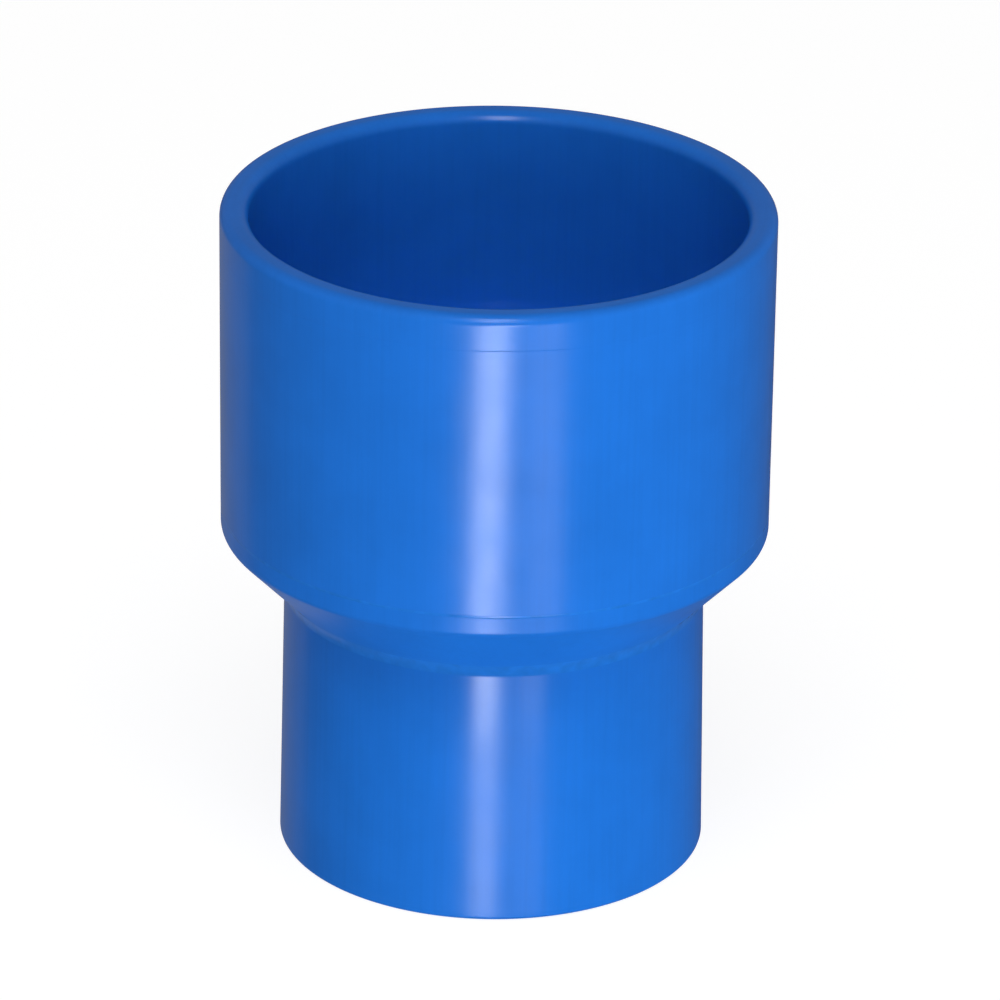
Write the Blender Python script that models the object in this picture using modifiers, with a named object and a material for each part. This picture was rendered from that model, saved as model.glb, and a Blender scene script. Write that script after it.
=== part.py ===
"""Concentric reducer for plastic pressure pipe, nominal 4 in to 3 in.

Two plain socket sleeves are solvent-cemented onto the two spigots of a reducing collar, and a bead
of cured cement closes each seam. Everything is turned about +Z. The origin is the centre of the
small mouth, which the fitting stands on, and the large mouth faces up. Lengths are in metres.
"""

import math

import bpy
from mathutils import Vector

# Pipes that the sockets take
LARGE_PIPE_RADIUS = 0.1143 / 2
SMALL_PIPE_RADIUS = 0.0889 / 2
PIPE_CLEARANCE = 0.00025  # on the radius at each mouth; the sockets taper to the pipe's own radius

# Heights along the axis
SMALL_SLEEVE_LENGTH = 0.064
CONE_HEIGHT = 0.0153
COLLAR_BAND_HEIGHT = 0.0047
LARGE_SLEEVE_LENGTH = 0.074
LARGE_LAP = 0.024
SMALL_LAP = 0.021

CONE_FOOT_Z = SMALL_SLEEVE_LENGTH
CONE_TOP_Z = CONE_FOOT_Z + CONE_HEIGHT
SEAM_Z = CONE_TOP_Z + COLLAR_BAND_HEIGHT
TOP_Z = SEAM_Z + LARGE_SLEEVE_LENGTH
LARGE_STOP_Z = SEAM_Z + LARGE_LAP
SMALL_STOP_Z = CONE_FOOT_Z - SMALL_LAP

# Radii
LARGE_MOUTH_RADIUS = 0.0641
COLLAR_RADIUS = 0.0638
CONE_FOOT_RADIUS = 0.04895
SMALL_MOUTH_RADIUS = 0.0498
UPPER_THROAT_RADIUS = 0.0511
LOWER_THROAT_RADIUS = 0.03895
THROAT_CONE_TOP_Z = 0.074
THROAT_CONE_FOOT_Z = 0.058

# Edges and fits
GAP = 0.0003
LARGE_MOUTH_ROUNDING = 0.0022
LARGE_BORE_ROUNDING = 0.0027
SMALL_MOUTH_ROUNDING = 0.0008
SMALL_BORE_ROUNDING = 0.0018
CONE_TOP_ROUNDING = 0.0012
SPIGOT_ROUNDING = 0.001
SEAM_CHAMFER = 0.0006
BEAD_DEPTH = 0.0003
BEAD_STAND = 0.0004  # how far the lower bead stands out of its corner

TURN_STEPS = 72
ARC_STEPS = 4

PLASTIC_BLUE = (0.0135, 0.177, 0.72)
CEMENT_BLUE = (0.0145, 0.185, 0.71)


def clear_scene():
    for item in list(bpy.data.objects):
        bpy.data.objects.remove(item, do_unlink=True)


def new_collection(name):
    collection = bpy.data.collections.new(name)
    bpy.context.scene.collection.children.link(collection)
    return collection


def plastic(name, colour, roughness):
    material = bpy.data.materials.new(name)
    material.use_nodes = True
    shader = material.node_tree.nodes["Principled BSDF"]
    shader.inputs["Base Color"].default_value = (*colour, 1.0)
    shader.inputs["Roughness"].default_value = roughness
    shader.inputs["Metallic"].default_value = 0.0
    return material


def rounded_corner(before, corner, after, radius):
    """Points of the arc that rounds off one corner of an outline."""
    towards_before = (before - corner).normalized()
    towards_after = (after - corner).normalized()
    half_angle = towards_before.angle(towards_after) / 2
    reach = radius / math.tan(half_angle)
    centre_way = (towards_before + towards_after).normalized()
    centre = corner + centre_way * (radius / math.sin(half_angle))
    first = corner + towards_before * reach - centre
    last = corner + towards_after * reach - centre
    turn = first.angle(last)
    points = []
    for step in range(ARC_STEPS + 1):
        part = step / ARC_STEPS
        weight_first = math.sin((1 - part) * turn) / math.sin(turn)
        weight_last = math.sin(part * turn) / math.sin(turn)
        points.append(centre + first * weight_first + last * weight_last)
    return points


def outline(corners):
    """Turns corners (radius, height, rounding) into the points of a closed outline."""
    points = []
    count = len(corners)
    for index, (radius, height, rounding) in enumerate(corners):
        corner = Vector((radius, height))
        if rounding:
            before = Vector(corners[index - 1][:2])
            after = Vector(corners[(index + 1) % count][:2])
            points.extend(rounded_corner(before, corner, after, rounding))
        else:
            points.append(corner)
    return points


def turned_ring(name, corners, material, collection):
    """Turns a closed outline about +Z. The outline runs down its outer side first."""
    points = outline(corners)
    vertices = [(point.x, 0.0, point.y) for point in points]
    edges = [(index, (index + 1) % len(points)) for index in range(len(points))]
    mesh = bpy.data.meshes.new(name)
    mesh.from_pydata(vertices, edges, [])
    mesh.materials.append(material)
    ring = bpy.data.objects.new(name, mesh)
    collection.objects.link(ring)
    screw = ring.modifiers.new("Turn", "SCREW")
    screw.axis = "Z"
    screw.angle = math.tau
    screw.steps = TURN_STEPS
    screw.render_steps = TURN_STEPS
    screw.use_merge_vertices = True
    screw.merge_threshold = 0.00001
    screw.use_smooth_shade = True
    return ring


def large_socket_sleeve(material, collection):
    draft = (LARGE_MOUTH_RADIUS - COLLAR_RADIUS) / (TOP_Z - CONE_TOP_Z)
    foot_radius = COLLAR_RADIUS + draft * COLLAR_BAND_HEIGHT
    foot_z = SEAM_Z + GAP
    corners = [
        (LARGE_MOUTH_RADIUS, TOP_Z, LARGE_MOUTH_ROUNDING),
        (foot_radius, foot_z + SEAM_CHAMFER, 0),
        (foot_radius - SEAM_CHAMFER, foot_z, 0),
        (LARGE_PIPE_RADIUS, foot_z, 0),
        (LARGE_PIPE_RADIUS, LARGE_STOP_Z, 0),
        (LARGE_PIPE_RADIUS + PIPE_CLEARANCE, TOP_Z, LARGE_BORE_ROUNDING),
    ]
    return turned_ring("large_socket_sleeve", corners, material, collection)


def reducing_collar(material, collection):
    upper_spigot = LARGE_PIPE_RADIUS - GAP
    lower_spigot = SMALL_PIPE_RADIUS - GAP
    corners = [
        (upper_spigot, LARGE_STOP_Z, SPIGOT_ROUNDING),
        (upper_spigot, SEAM_Z, 0),
        (COLLAR_RADIUS - SEAM_CHAMFER, SEAM_Z, 0),
        (COLLAR_RADIUS, SEAM_Z - SEAM_CHAMFER, 0),
        (COLLAR_RADIUS, CONE_TOP_Z, CONE_TOP_ROUNDING),
        (CONE_FOOT_RADIUS, CONE_FOOT_Z, 0),
        (lower_spigot, CONE_FOOT_Z, 0),
        (lower_spigot, SMALL_STOP_Z, SPIGOT_ROUNDING),
        (LOWER_THROAT_RADIUS, SMALL_STOP_Z, SPIGOT_ROUNDING),
        (LOWER_THROAT_RADIUS, THROAT_CONE_FOOT_Z, 0),
        (UPPER_THROAT_RADIUS, THROAT_CONE_TOP_Z, 0),
        (UPPER_THROAT_RADIUS, LARGE_STOP_Z, SPIGOT_ROUNDING),
    ]
    return turned_ring("reducing_collar", corners, material, collection)


def small_socket_sleeve(material, collection):
    top_z = CONE_FOOT_Z - GAP
    corners = [
        (CONE_FOOT_RADIUS - SEAM_CHAMFER, top_z, 0),
        (CONE_FOOT_RADIUS, top_z - SEAM_CHAMFER, 0),
        (SMALL_MOUTH_RADIUS, 0.0, SMALL_MOUTH_ROUNDING),
        (SMALL_PIPE_RADIUS + PIPE_CLEARANCE, 0.0, SMALL_BORE_ROUNDING),
        (SMALL_PIPE_RADIUS, SMALL_STOP_Z, 0),
        (SMALL_PIPE_RADIUS, top_z, 0),
    ]
    return turned_ring("small_socket_sleeve", corners, material, collection)


def large_joint_cement_bead(material, collection):
    """Fills the V between the two chamfers at the seam, with the gap kept to both."""
    middle_z = SEAM_Z + GAP / 2
    half_width = SEAM_CHAMFER + GAP / 2 - GAP * math.sqrt(2)
    corners = [
        (COLLAR_RADIUS, middle_z + half_width, 0),
        (COLLAR_RADIUS, middle_z - half_width, 0),
        (COLLAR_RADIUS - half_width, middle_z, 0),
    ]
    return turned_ring("large_joint_cement_bead", corners, material, collection)


def small_joint_cement_bead(material, collection):
    """Lies in the corner under the cone, on the small sleeve's chamfer."""
    top_z = CONE_FOOT_Z - GAP
    root_radius = CONE_FOOT_RADIUS - SEAM_CHAMFER + GAP * math.sqrt(2)
    outer_radius = CONE_FOOT_RADIUS + BEAD_STAND
    shoulder_z = top_z - BEAD_DEPTH
    foot_radius = CONE_FOOT_RADIUS + BEAD_STAND / 2
    corners = [
        (outer_radius, top_z, 0),
        (outer_radius, shoulder_z, 0),
        (foot_radius, top_z - (foot_radius - root_radius), 0),
        (root_radius, top_z, 0),
    ]
    return turned_ring("small_joint_cement_bead", corners, material, collection)


def build():
    clear_scene()
    collection = new_collection("concentric_reducer")
    sleeve_blue = plastic("sleeve_plastic", PLASTIC_BLUE, 0.28)
    collar_blue = plastic("collar_plastic", PLASTIC_BLUE, 0.30)
    small_blue = plastic("small_sleeve_plastic", PLASTIC_BLUE, 0.28)
    upper_cement = plastic("upper_cement", CEMENT_BLUE, 0.2)
    lower_cement = plastic("lower_cement", CEMENT_BLUE, 0.2)
    large_socket_sleeve(sleeve_blue, collection)
    reducing_collar(collar_blue, collection)
    small_socket_sleeve(small_blue, collection)
    large_joint_cement_bead(upper_cement, collection)
    small_joint_cement_bead(lower_cement, collection)


build()
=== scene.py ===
"""Looks of the concentric reducer: five finely turned pieces stand for the five CAD nodes.

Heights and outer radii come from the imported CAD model. What its boxes don't show, such as the bores
and the edge roundings, is named below. Lengths are in metres, +Z is the bore's axis.
"""

import math

import bmesh
import bpy
from mathutils import Matrix, Vector, noise


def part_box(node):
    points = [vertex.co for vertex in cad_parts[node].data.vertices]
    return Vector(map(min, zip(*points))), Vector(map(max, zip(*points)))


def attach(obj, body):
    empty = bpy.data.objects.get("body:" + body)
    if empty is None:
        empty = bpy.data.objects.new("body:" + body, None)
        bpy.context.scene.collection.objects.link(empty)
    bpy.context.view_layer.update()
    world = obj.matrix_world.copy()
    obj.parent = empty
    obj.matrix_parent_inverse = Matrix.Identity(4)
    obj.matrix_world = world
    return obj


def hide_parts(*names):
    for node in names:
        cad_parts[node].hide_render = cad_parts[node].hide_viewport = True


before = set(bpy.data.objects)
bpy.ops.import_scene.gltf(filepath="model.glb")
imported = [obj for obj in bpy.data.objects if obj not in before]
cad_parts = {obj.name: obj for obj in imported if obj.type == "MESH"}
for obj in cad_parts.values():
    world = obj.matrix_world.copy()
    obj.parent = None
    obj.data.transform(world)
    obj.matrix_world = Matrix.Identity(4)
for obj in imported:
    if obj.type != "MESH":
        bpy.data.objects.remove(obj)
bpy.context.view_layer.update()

sleeve_low, sleeve_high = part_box("large_socket_sleeve")
collar_low, collar_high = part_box("reducing_collar")
small_low, small_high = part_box("small_socket_sleeve")

# Fits, bores and the cone, which the CAD boxes don't show
GAP = 0.0003  # between neighbouring CAD pieces
LARGE_PIPE_RADIUS = 0.1143 / 2
SMALL_PIPE_RADIUS = 0.0889 / 2
PIPE_CLEARANCE = 0.00025  # on the radius at each mouth; the sockets taper to the pipe's own radius
UPPER_THROAT_RADIUS = 0.0511
LOWER_THROAT_RADIUS = 0.03895
THROAT_CONE_TOP_Z = 0.074
THROAT_CONE_FOOT_Z = 0.058
CONE_HEIGHT = 0.0153
CONE_FOOT_RADIUS = 0.04895

# Gaps as they show: narrower than the CAD's, which stand for the film of cement as well
SEAM_GAP = GAP / 3
SPIGOT_GAP = GAP / 2

# Heights and outer radii, from the CAD model
TOP_Z = sleeve_high.z
SEAM_Z = sleeve_low.z - GAP
LARGE_STOP_Z = collar_high.z
SMALL_STOP_Z = collar_low.z
CONE_FOOT_Z = small_high.z + GAP
CONE_TOP_Z = CONE_FOOT_Z + CONE_HEIGHT
LARGE_MOUTH_RADIUS = sleeve_high.x
COLLAR_RADIUS = collar_high.x
SMALL_MOUTH_RADIUS = small_high.x

# Edges
LARGE_MOUTH_ROUNDING = 0.0022
LARGE_BORE_ROUNDING = 0.0027
SMALL_MOUTH_ROUNDING = 0.0008
SMALL_BORE_ROUNDING = 0.0018
CONE_TOP_ROUNDING = 0.0018
SPIGOT_ROUNDING = 0.001
SEAM_CHAMFER = 0.0003
SOFT_EDGE = 0.0001

# The mould's witness ring, a shallow groove below the large mouth
WITNESS_DROP = 0.0083
WITNESS_WIDTH = 0.0002
WITNESS_DEPTH = 0.000025
WITNESS_BRIM_ROUNDING = 0.00003
WITNESS_BED_ROUNDING = 0.00006

# The upper bead, nearly flush with the collar
BEAD_SINK = 0.00001  # of its edges, below the collar's surface
BEAD_CROWN = 0.00003  # of its middle, above its edges
BEAD_LAP = 0.00001  # past each chamfer
BEAD_EDGE_ROUNDING = 0.00001
BEAD_CROWN_ROUNDING = 0.001
BEAD_ROOT_ROUNDING = 0.00004

# The lower bead, a fillet between the cone and the small sleeve
FILLET_LEG = 0.0026  # along the cone, and down the sleeve
FILLET_ARC_SHARE = 0.95  # of each leg
FILLET_STAND = 0.00003  # of its corner before rounding, off both pieces
FILLET_SINK = 0.00004  # of its two ends, into the pieces
FILLET_ROOT = Vector((0.0004, 0.0003))  # from its root to the corner
FILLET_END_ROUNDING = 0.000005
FILLET_ROOT_ROUNDING = 0.00003

# Fineness of the turned meshes
TURN_STEPS = 288
ARC_STEPS = 8
RUN_STEP = 0.004  # longest step along a straight run
SUPPORT = 0.0003  # from an arc to the loop that holds the shading flat beside it
MERGE_DISTANCE = 0.000001

# Moulded surface: a wander of a few hundredths of a millimetre, always inwards
WANDER_DEPTH = 0.00003
WANDER_LENGTH = 0.035

# Detail of the plastic: noise scales in cycles per metre, and how much each noise does
NOISE_LOW, NOISE_HIGH = 0.3, 0.7  # the part of a noise's range that counts
MOTTLE_SCALE = 45
MOTTLE_DARK, MOTTLE_LIGHT = 0.94, 1.05
LINE_SCALE = 900
LINE_STRETCH = 0.02  # of the scale along Z, which draws the lines out lengthwise
LINE_LOW, LINE_HIGH = 0.25, 0.6
LINE_DARK = 0.96
LINE_STRENGTH = 0.5
GRAIN_SCALE = 2600
GRAIN_STRENGTH = 0.15
GRAIN_DEPTH = 0.000012
SMEAR_SCALE = 130
SHEEN_SPREAD = 0.02
PLASTIC_IOR = 1.5
DULL_FROM_Z = 0.036  # below this height the small sleeve has its dullest finish
DULL_SPECULAR = 0.38  # there

# Detail of the cement
RIPPLE_SCALE = 350
RIPPLE_DARK, RIPPLE_LIGHT = 0.9, 1.08
RIPPLE_STRENGTH = 0.3
RIPPLE_DEPTH = 0.000008
CEMENT_SMOOTH, CEMENT_ROUGH = 0.12, 0.24

# Camera
CAMERA_AIM = Vector((0.00117, 0.0, 0.08427))
CAMERA_DISTANCE = 2.03
CAMERA_ELEVATION = math.radians(24.46)
CAMERA_ROLL = math.radians(0.8)
CAMERA_LENS = 314.2
CAMERA_SENSOR = 36.0
CAMERA_REACH = 100.0

# Studio
SOFT_PANEL_DISTANCE = 2.5
SKY_BELOW, SKY_ABOVE = 0.10, 0.19  # as mirrored in the gloss
SKY_BLEND = 0.15  # height of the blend between them, above and below the horizon, on the unit sphere
SKY_ON_COLOUR = 0.03
FLOOR_RADIUS = 9.0
FLOOR_SIDES = 96
FLOOR_DROP = 0.0002
FLOOR_SHADE = 0.2
FLOOR_GLOW = 0.9
FLOOR_ROUGHNESS = 0.9

PLASTIC_BLUE = (0.0135, 0.177, 0.72)
CEMENT_BLUE = (0.0145, 0.185, 0.71)
PAPER_WHITE = (0.98, 0.98, 0.98)


def rounded_corner(before, corner, after, radius):
    """Points of the arc that rounds off one corner of an outline."""
    towards_before = (before - corner).normalized()
    towards_after = (after - corner).normalized()
    half_angle = towards_before.angle(towards_after) / 2
    reach = radius / math.tan(half_angle)
    centre = corner + (towards_before + towards_after).normalized() * (radius / math.sin(half_angle))
    first = corner + towards_before * reach - centre
    last = corner + towards_after * reach - centre
    turn = first.angle(last)
    points = []
    for step in range(ARC_STEPS + 1):
        part = step / ARC_STEPS
        weight_first = math.sin((1 - part) * turn) / math.sin(turn)
        weight_last = math.sin(part * turn) / math.sin(turn)
        points.append(centre + first * weight_first + last * weight_last)
    return points


def run_points(start, end):
    """Points between two arcs: one close to each, to hold the shading flat, and even steps between."""
    way = end - start
    length = way.length
    if length < 4 * SUPPORT:  # too short to need any
        return []
    near, far = SUPPORT / length, 1 - SUPPORT / length
    steps = max(1, math.ceil((far - near) * length / RUN_STEP))
    return [start + way * (near + (far - near) * step / steps) for step in range(steps + 1)]


def outline(corners):
    """Turns corners (radius, height, rounding) into the points of a closed outline."""
    count = len(corners)
    flat = [Vector((radius, height)) for radius, height, _ in corners]
    arcs = []
    for index, (_, _, rounding) in enumerate(corners):
        arcs.append(rounded_corner(flat[index - 1], flat[index], flat[(index + 1) % count], rounding))
    points = []
    for index, arc in enumerate(arcs):
        points.extend(arc)
        points.extend(run_points(arc[-1], arcs[(index + 1) % count][0]))
    return points


def turned_mesh(name, corners):
    """A closed ring turned about +Z from an outline, with the slight wander of a moulded surface."""
    points = outline(corners)
    mesh_maker = bmesh.new()
    ring = [mesh_maker.verts.new((point.x, 0.0, point.y)) for point in points]
    edges = [mesh_maker.edges.new((ring[i], ring[(i + 1) % len(ring)])) for i in range(len(ring))]
    bmesh.ops.spin(
        mesh_maker,
        geom=ring + edges,
        cent=(0, 0, 0),
        axis=(0, 0, 1),
        angle=math.tau,
        steps=TURN_STEPS,
        use_merge=True,
    )
    bmesh.ops.remove_doubles(mesh_maker, verts=mesh_maker.verts[:], dist=MERGE_DISTANCE)
    bmesh.ops.recalc_face_normals(mesh_maker, faces=mesh_maker.faces[:])
    for vertex in mesh_maker.verts:
        radius = vertex.co.xy.length
        wander = WANDER_DEPTH * (0.5 + 0.5 * noise.noise(vertex.co / WANDER_LENGTH))
        vertex.co.xy *= (radius - max(0.0, wander)) / radius
    for face in mesh_maker.faces:
        face.smooth = True
    mesh = bpy.data.meshes.new(name)
    mesh_maker.to_mesh(mesh)
    mesh_maker.free()
    return mesh


def add_piece(name, corners, material, node):
    """A turned piece that stands for one CAD node."""
    mesh = turned_mesh(name, corners)
    mesh.materials.append(material)
    piece = bpy.data.objects.new(name, mesh)
    bpy.context.scene.collection.objects.link(piece)
    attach(piece, "root")
    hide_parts(node)
    return piece


class Nodes:
    """Short ways to add and join the nodes of one material."""

    def __init__(self, name):
        self.material = bpy.data.materials.new(name)
        self.material.use_nodes = True
        self.tree = self.material.node_tree
        self.shader = self.tree.nodes["Principled BSDF"]

    def add(self, kind, values=(), **settings):
        node = self.tree.nodes.new(kind)
        for key, value in settings.items():
            setattr(node, key, value)
        for socket, value in values:
            node.inputs[socket].default_value = value
        return node

    def join(self, source, output, target, socket):
        self.tree.links.new(source.outputs[output], target.inputs[socket])

    def noise(self, coordinates, scale, detail, roughness=0.5):
        values = [("Scale", scale), ("Detail", detail), ("Roughness", roughness)]
        node = self.add("ShaderNodeTexNoise", values)
        self.join(coordinates, "Vector", node, "Vector")
        return node

    def stretched(self, coordinates, offset, scale):
        node = self.add("ShaderNodeMapping", [("Location", offset), ("Scale", scale)])
        self.join(coordinates, "Object", node, "Vector")
        return node

    def ranged(self, source, low, high, new_low, new_high):
        values = [("From Min", low), ("From Max", high), ("To Min", new_low), ("To Max", new_high)]
        node = self.add("ShaderNodeMapRange", values)
        self.join(source, "Fac", node, "Value")
        return node

    def shaded(self, source, low, high, dark, light):
        """A colour that goes from dark to light over a range of a noise."""
        node = self.add("ShaderNodeValToRGB")
        first, last = node.color_ramp.elements
        first.position, last.position = low, high
        first.color, last.color = (*dark, 1), (*light, 1)
        self.join(source, "Fac", node, "Fac")
        return node

    def eased_down(self, heights, at_cone, at_foot):
        """A value that changes smoothly from the cone's foot down to DULL_FROM_Z."""
        heights_in = [("From Min", CONE_FOOT_Z), ("From Max", DULL_FROM_Z)]
        values_out = [("To Min", at_cone), ("To Max", at_foot)]
        node = self.add("ShaderNodeMapRange", heights_in + values_out, interpolation_type="SMOOTHSTEP")
        self.join(heights, "Z", node, "Value")
        return node

    def bump(self, source, strength, depth):
        node = self.add("ShaderNodeBump", [("Strength", strength), ("Distance", depth)])
        self.join(source, "Fac", node, "Height")
        return node


def tinted(colour, share):
    return [channel * share for channel in colour]


def moulded_plastic(name, colour, roughness, offset, line_depth, specular=0.5, dull_foot=0.0):
    """Rigid plastic: pigment mottle, a soft sheen that varies, fine grain and faint lengthwise lines.

    dull_foot is how much rougher the piece is towards its foot than at the conical shoulder.
    """
    made = Nodes(name)
    place = made.add("ShaderNodeTexCoord")
    even = made.stretched(place, offset, (1, 1, 1))
    lengthwise = made.stretched(place, offset, (1, 1, LINE_STRETCH))

    mottle = made.noise(even, MOTTLE_SCALE, detail=4)
    lines = made.noise(lengthwise, LINE_SCALE, detail=3, roughness=0.6)
    grain = made.noise(even, GRAIN_SCALE, detail=2)
    smear = made.noise(even, SMEAR_SCALE, detail=3)

    dark, light = tinted(colour, MOTTLE_DARK), tinted(colour, MOTTLE_LIGHT)
    shade = made.shaded(mottle, NOISE_LOW, NOISE_HIGH, dark, light)
    line_shade = made.shaded(lines, LINE_LOW, LINE_HIGH, [LINE_DARK] * 3, [1.0] * 3)
    lined = made.add("ShaderNodeMix", [("Factor", 1.0)], data_type="RGBA", blend_type="MULTIPLY")
    made.join(shade, "Color", lined, "A")
    made.join(line_shade, "Color", lined, "B")
    made.join(lined, "Result", made.shader, "Base Color")

    sheen = made.ranged(smear, NOISE_LOW, NOISE_HIGH, roughness - SHEEN_SPREAD, roughness + SHEEN_SPREAD)
    made.shader.inputs["Specular IOR Level"].default_value = specular
    if dull_foot:
        heights = made.add("ShaderNodeSeparateXYZ")
        made.join(place, "Object", heights, "Vector")
        worn = made.add("ShaderNodeMath", operation="ADD")
        made.join(sheen, "Result", worn, 0)
        made.join(made.eased_down(heights, at_cone=0.0, at_foot=dull_foot), "Result", worn, 1)
        made.join(worn, "Value", made.shader, "Roughness")
        paling = made.eased_down(heights, at_cone=specular, at_foot=DULL_SPECULAR)
        made.join(paling, "Result", made.shader, "Specular IOR Level")
    else:
        made.join(sheen, "Result", made.shader, "Roughness")

    fine = made.bump(grain, GRAIN_STRENGTH, GRAIN_DEPTH)
    drawn = made.bump(lines, LINE_STRENGTH, line_depth)
    made.join(fine, "Normal", drawn, "Normal")
    made.join(drawn, "Normal", made.shader, "Normal")
    made.shader.inputs["Metallic"].default_value = 0.0
    made.shader.inputs["IOR"].default_value = PLASTIC_IOR
    return made.material


def cured_cement(name, colour, offset):
    """Glossy cured cement with slow ripples."""
    made = Nodes(name)
    place = made.add("ShaderNodeTexCoord")
    even = made.stretched(place, offset, (1, 1, 1))
    ripples = made.noise(even, RIPPLE_SCALE, detail=3)
    dark, light = tinted(colour, RIPPLE_DARK), tinted(colour, RIPPLE_LIGHT)
    shade = made.shaded(ripples, NOISE_LOW, NOISE_HIGH, dark, light)
    made.join(shade, "Color", made.shader, "Base Color")
    sheen = made.ranged(ripples, NOISE_LOW, NOISE_HIGH, CEMENT_SMOOTH, CEMENT_ROUGH)
    made.join(sheen, "Result", made.shader, "Roughness")
    made.join(made.bump(ripples, RIPPLE_STRENGTH, RIPPLE_DEPTH), "Normal", made.shader, "Normal")
    return made.material


def large_sleeve_corners():
    draft = (LARGE_MOUTH_RADIUS - COLLAR_RADIUS) / (TOP_Z - CONE_TOP_Z)
    foot_radius = COLLAR_RADIUS + draft * (SEAM_Z - CONE_TOP_Z)
    foot_z = SEAM_Z + SEAM_GAP
    witness_z = TOP_Z - WITNESS_DROP
    witness_radius = LARGE_MOUTH_RADIUS - draft * WITNESS_DROP
    return [
        (LARGE_MOUTH_RADIUS, TOP_Z, LARGE_MOUTH_ROUNDING),
        (witness_radius, witness_z + WITNESS_WIDTH / 2, WITNESS_BRIM_ROUNDING),
        (witness_radius - WITNESS_DEPTH, witness_z, WITNESS_BED_ROUNDING),
        (witness_radius, witness_z - WITNESS_WIDTH / 2, WITNESS_BRIM_ROUNDING),
        (foot_radius, foot_z + SEAM_CHAMFER, SOFT_EDGE),
        (foot_radius - SEAM_CHAMFER, foot_z, SOFT_EDGE),
        (LARGE_PIPE_RADIUS, foot_z, SOFT_EDGE),
        (LARGE_PIPE_RADIUS, LARGE_STOP_Z, SOFT_EDGE),
        (LARGE_PIPE_RADIUS + PIPE_CLEARANCE, TOP_Z, LARGE_BORE_ROUNDING),
    ]


def collar_corners():
    upper_spigot = LARGE_PIPE_RADIUS - SPIGOT_GAP
    lower_spigot = SMALL_PIPE_RADIUS - SPIGOT_GAP
    return [
        (upper_spigot, LARGE_STOP_Z, SPIGOT_ROUNDING),
        (upper_spigot, SEAM_Z, SOFT_EDGE),
        (COLLAR_RADIUS - SEAM_CHAMFER, SEAM_Z, SOFT_EDGE),
        (COLLAR_RADIUS, SEAM_Z - SEAM_CHAMFER, SOFT_EDGE),
        (COLLAR_RADIUS, CONE_TOP_Z, CONE_TOP_ROUNDING),
        (CONE_FOOT_RADIUS, CONE_FOOT_Z, SOFT_EDGE),
        (lower_spigot, CONE_FOOT_Z, SOFT_EDGE),
        (lower_spigot, SMALL_STOP_Z, SPIGOT_ROUNDING),
        (LOWER_THROAT_RADIUS, SMALL_STOP_Z, SPIGOT_ROUNDING),
        (LOWER_THROAT_RADIUS, THROAT_CONE_FOOT_Z, SPIGOT_ROUNDING),
        (UPPER_THROAT_RADIUS, THROAT_CONE_TOP_Z, SPIGOT_ROUNDING),
        (UPPER_THROAT_RADIUS, LARGE_STOP_Z, SPIGOT_ROUNDING),
    ]


def small_sleeve_corners():
    top_z = CONE_FOOT_Z - SEAM_GAP
    return [
        (CONE_FOOT_RADIUS - SEAM_CHAMFER, top_z, SOFT_EDGE),
        (CONE_FOOT_RADIUS, top_z - SEAM_CHAMFER, SOFT_EDGE),
        (SMALL_MOUTH_RADIUS, small_low.z, SMALL_MOUTH_ROUNDING),
        (SMALL_PIPE_RADIUS + PIPE_CLEARANCE, small_low.z, SMALL_BORE_ROUNDING),
        (SMALL_PIPE_RADIUS, SMALL_STOP_Z, SOFT_EDGE),
        (SMALL_PIPE_RADIUS, top_z, SOFT_EDGE),
    ]


def large_bead_corners():
    """A bead in the V between the sleeve's and the collar's chamfers."""
    middle_z = SEAM_Z + SEAM_GAP / 2
    edge_radius = COLLAR_RADIUS - BEAD_SINK
    half_width = SEAM_GAP / 2 + SEAM_CHAMFER + BEAD_LAP
    return [
        (edge_radius, middle_z + half_width, BEAD_EDGE_ROUNDING),
        (edge_radius + BEAD_CROWN, middle_z, BEAD_CROWN_ROUNDING),
        (edge_radius, middle_z - half_width, BEAD_EDGE_ROUNDING),
        (edge_radius - SEAM_CHAMFER, middle_z, BEAD_ROOT_ROUNDING),
    ]


def small_bead_corners():
    """A concave fillet that blends the cone into the small sleeve."""
    slope = math.atan2(CONE_HEIGHT, COLLAR_RADIUS - CONE_FOOT_RADIUS)
    cone_way = Vector((math.cos(slope), math.sin(slope)))
    cone_normal = Vector((math.sin(slope), -math.cos(slope)))
    sleeve_taper = (SMALL_MOUTH_RADIUS - CONE_FOOT_RADIUS) / CONE_FOOT_Z
    sleeve_way = Vector((sleeve_taper, -1)).normalized()
    sleeve_normal = Vector((1, sleeve_taper)).normalized()
    foot = Vector((CONE_FOOT_RADIUS, CONE_FOOT_Z))
    corner_way = (cone_normal + sleeve_normal) / (1 + cone_normal.dot(sleeve_normal))
    corner = foot + corner_way * FILLET_STAND
    up_cone = foot - cone_normal * FILLET_SINK + cone_way * FILLET_LEG
    down_sleeve = foot - sleeve_normal * FILLET_SINK + sleeve_way * FILLET_LEG
    root = foot - FILLET_ROOT
    half_angle = cone_way.angle(sleeve_way) / 2
    return [
        (up_cone.x, up_cone.y, FILLET_END_ROUNDING),
        (corner.x, corner.y, FILLET_ARC_SHARE * FILLET_LEG * math.tan(half_angle)),
        (down_sleeve.x, down_sleeve.y, FILLET_END_ROUNDING),
        (root.x, root.y, FILLET_ROOT_ROUNDING),
    ]


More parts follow.
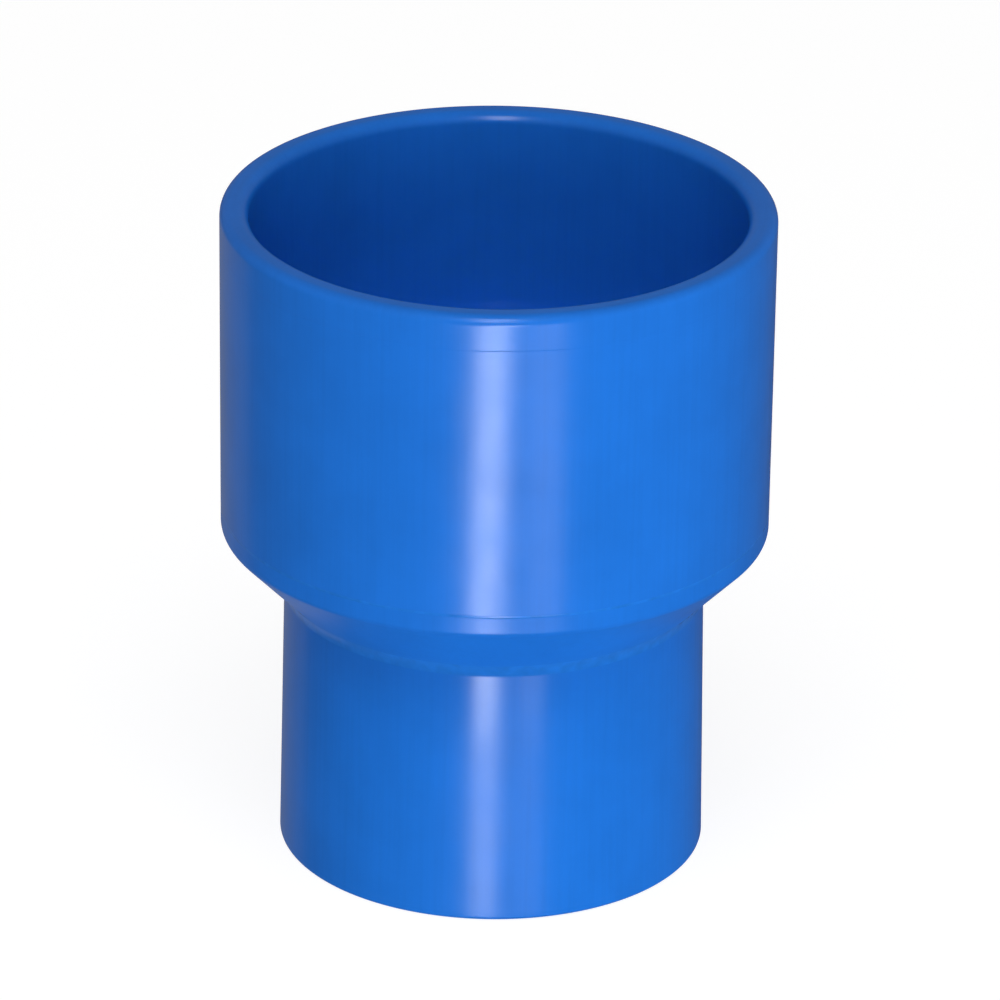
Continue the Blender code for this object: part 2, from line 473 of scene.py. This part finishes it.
def set_lens():
    data = bpy.data.cameras.new("studio_camera")
    data.lens = CAMERA_LENS
    data.sensor_width = CAMERA_SENSOR
    data.clip_end = CAMERA_REACH
    camera = bpy.data.objects.new("studio_camera", data)
    bpy.context.scene.collection.objects.link(camera)
    back = Vector((0, -math.cos(CAMERA_ELEVATION), math.sin(CAMERA_ELEVATION)))
    level = Vector((1, 0, 0))
    upright = back.cross(level)
    right = level * math.cos(CAMERA_ROLL) + upright * math.sin(CAMERA_ROLL)
    up = upright * math.cos(CAMERA_ROLL) - level * math.sin(CAMERA_ROLL)
    turn = Matrix((right, up, back)).transposed().to_4x4()
    camera.matrix_world = Matrix.Translation(CAMERA_AIM + back * CAMERA_DISTANCE) @ turn
    bpy.context.scene.camera = camera


def direction(azimuth, elevation):
    """A unit vector from angles in degrees. Azimuth 0 is towards -Y, the camera's side, and grows to +X."""
    a, e = math.radians(azimuth), math.radians(elevation)
    return Vector((math.sin(a) * math.cos(e), -math.cos(a) * math.cos(e), math.sin(e)))


def panel(name, azimuth, elevation, distance, width, height, radiance, diffuse, glossy, tilt=0.0):
    """A rectangular soft light that faces the middle of the object."""
    data = bpy.data.lights.new(name, "AREA")
    data.shape = "RECTANGLE"
    data.size = width
    data.size_y = height
    data.energy = radiance * math.pi * width * height
    light = bpy.data.objects.new(name, data)
    bpy.context.scene.collection.objects.link(light)
    away = direction(azimuth, elevation)
    light.location = Vector((0, 0, TOP_Z / 2)) + away * distance
    light.rotation_mode = "QUATERNION"
    facing = (-away).to_track_quat("-Z", "Y")
    light.rotation_quaternion = facing @ Matrix.Rotation(math.radians(tilt), 3, "Z").to_quaternion()
    light.visible_camera = False
    light.visible_diffuse = diffuse
    light.visible_glossy = glossy
    # If this is on, a soft light shows in the gloss in spite of visible_glossy.
    data.cycles.use_multiple_importance_sampling = glossy
    return light


def soft_panel(name, azimuth, elevation, size, radiance):
    """A big square light that lights the colour and is kept out of the reflections."""
    return panel(name, azimuth, elevation, SOFT_PANEL_DISTANCE, size, size, radiance, True, False)


def mirrored_panel(name, azimuth, elevation, distance, width, height, radiance, tilt=0.0):
    """A light that is seen only in the gloss."""
    return panel(name, azimuth, elevation, distance, width, height, radiance, False, True, tilt)


def set_lights():
    soft_panel("low_left", azimuth=-60, elevation=-20, size=3.2, radiance=1.06)
    soft_panel("low_front", azimuth=20, elevation=-18, size=3.2, radiance=1.31)
    soft_panel("low_right", azimuth=60, elevation=-20, size=3.2, radiance=1.35)
    soft_panel("high_front", azimuth=0, elevation=65, size=1.4, radiance=6.2)
    soft_panel("low_back", azimuth=180, elevation=-20, size=3.2, radiance=1.6)
    mirrored_panel(
        "main_strip",
        azimuth=-0.6, elevation=-18.7, distance=1.6, width=0.28, height=0.70, radiance=10.4, tilt=-25,
    )
    mirrored_panel(
        "second_strip",
        azimuth=20.8, elevation=-18.7, distance=1.6, width=0.36, height=0.70, radiance=1.8,
    )
    mirrored_panel(
        "high_strip",
        azimuth=-1, elevation=43, distance=1.2, width=0.22, height=0.87, radiance=5.0,
    )
    mirrored_panel(
        "left_rim_panel",
        azimuth=-150, elevation=-30, distance=1.6, width=1.5, height=1.3, radiance=0.135,
    )


def set_world():
    """Dim in the gloss, a little brighter above than below, almost none for the colour, white to the eye."""
    world = bpy.data.worlds.new("studio")
    bpy.context.scene.world = world
    world.use_nodes = True
    nodes, links = world.node_tree.nodes, world.node_tree.links
    nodes.clear()
    out = nodes.new("ShaderNodeOutputWorld")
    rays = nodes.new("ShaderNodeLightPath")
    place = nodes.new("ShaderNodeTexCoord")
    split = nodes.new("ShaderNodeSeparateXYZ")
    links.new(place.outputs["Generated"], split.inputs["Vector"])
    sky = nodes.new("ShaderNodeMapRange")
    sky.inputs["From Min"].default_value = -SKY_BLEND
    sky.inputs["From Max"].default_value = SKY_BLEND
    sky.inputs["To Min"].default_value = SKY_BELOW
    sky.inputs["To Max"].default_value = SKY_ABOVE
    links.new(split.outputs["Z"], sky.inputs["Value"])
    soft = nodes.new("ShaderNodeBackground")
    soft.inputs["Strength"].default_value = SKY_ON_COLOUR
    mirrored = nodes.new("ShaderNodeBackground")
    links.new(sky.outputs["Result"], mirrored.inputs["Strength"])
    seen = nodes.new("ShaderNodeBackground")
    seen.inputs["Color"].default_value = (*PAPER_WHITE, 1)
    first = nodes.new("ShaderNodeMixShader")
    links.new(rays.outputs["Is Glossy Ray"], first.inputs["Fac"])
    links.new(soft.outputs["Background"], first.inputs[1])
    links.new(mirrored.outputs["Background"], first.inputs[2])
    second = nodes.new("ShaderNodeMixShader")
    links.new(rays.outputs["Is Camera Ray"], second.inputs["Fac"])
    links.new(first.outputs["Shader"], second.inputs[1])
    links.new(seen.outputs["Background"], second.inputs[2])
    links.new(second.outputs["Shader"], out.inputs["Surface"])


def set_floor():
    """A wide sheet of white paper under the object."""
    mesh_maker = bmesh.new()
    bmesh.ops.create_circle(mesh_maker, cap_ends=True, segments=FLOOR_SIDES, radius=FLOOR_RADIUS)
    mesh = bpy.data.meshes.new("paper_floor")
    mesh_maker.to_mesh(mesh)
    mesh_maker.free()
    floor = bpy.data.objects.new("paper_floor", mesh)
    bpy.context.scene.collection.objects.link(floor)
    floor.location.z = small_low.z - FLOOR_DROP
    material = bpy.data.materials.new("white_paper")
    material.use_nodes = True
    shader = material.node_tree.nodes["Principled BSDF"]
    shader.inputs["Base Color"].default_value = (FLOOR_SHADE, FLOOR_SHADE, FLOOR_SHADE, 1)
    shader.inputs["Roughness"].default_value = FLOOR_ROUGHNESS
    shader.inputs["Specular IOR Level"].default_value = 0.0
    shader.inputs["Emission Color"].default_value = (1, 1, 1, 1)
    shader.inputs["Emission Strength"].default_value = FLOOR_GLOW
    mesh.materials.append(material)
    floor.visible_diffuse = False
    floor.visible_glossy = False
    floor.visible_shadow = False


sleeve_blue = moulded_plastic(
    "sleeve_blue", PLASTIC_BLUE,
    roughness=0.22, offset=(0.0, 0.0, 0.0), line_depth=0.000005,
)
collar_blue = moulded_plastic(
    "collar_blue", PLASTIC_BLUE,
    roughness=0.25, offset=(0.3, 0.1, 0.2), line_depth=0.000001, specular=0.42,
)
small_blue = moulded_plastic(
    "small_sleeve_blue", PLASTIC_BLUE,
    roughness=0.20, offset=(0.7, 0.4, 0.6), line_depth=0.000005, dull_foot=0.05,
)
cement_blue = cured_cement("cement_blue", CEMENT_BLUE, offset=(0.2, 0.5, 0.1))

add_piece("large_sleeve", large_sleeve_corners(), sleeve_blue, "large_socket_sleeve")
add_piece("collar", collar_corners(), collar_blue, "reducing_collar")
add_piece("small_sleeve", small_sleeve_corners(), small_blue, "small_socket_sleeve")
add_piece("large_bead", large_bead_corners(), cement_blue, "large_joint_cement_bead")
add_piece("small_bead", small_bead_corners(), cement_blue, "small_joint_cement_bead")

set_lens()
set_lights()
set_world()
set_floor()
bpy.context.scene.view_settings.view_transform = "Standard"
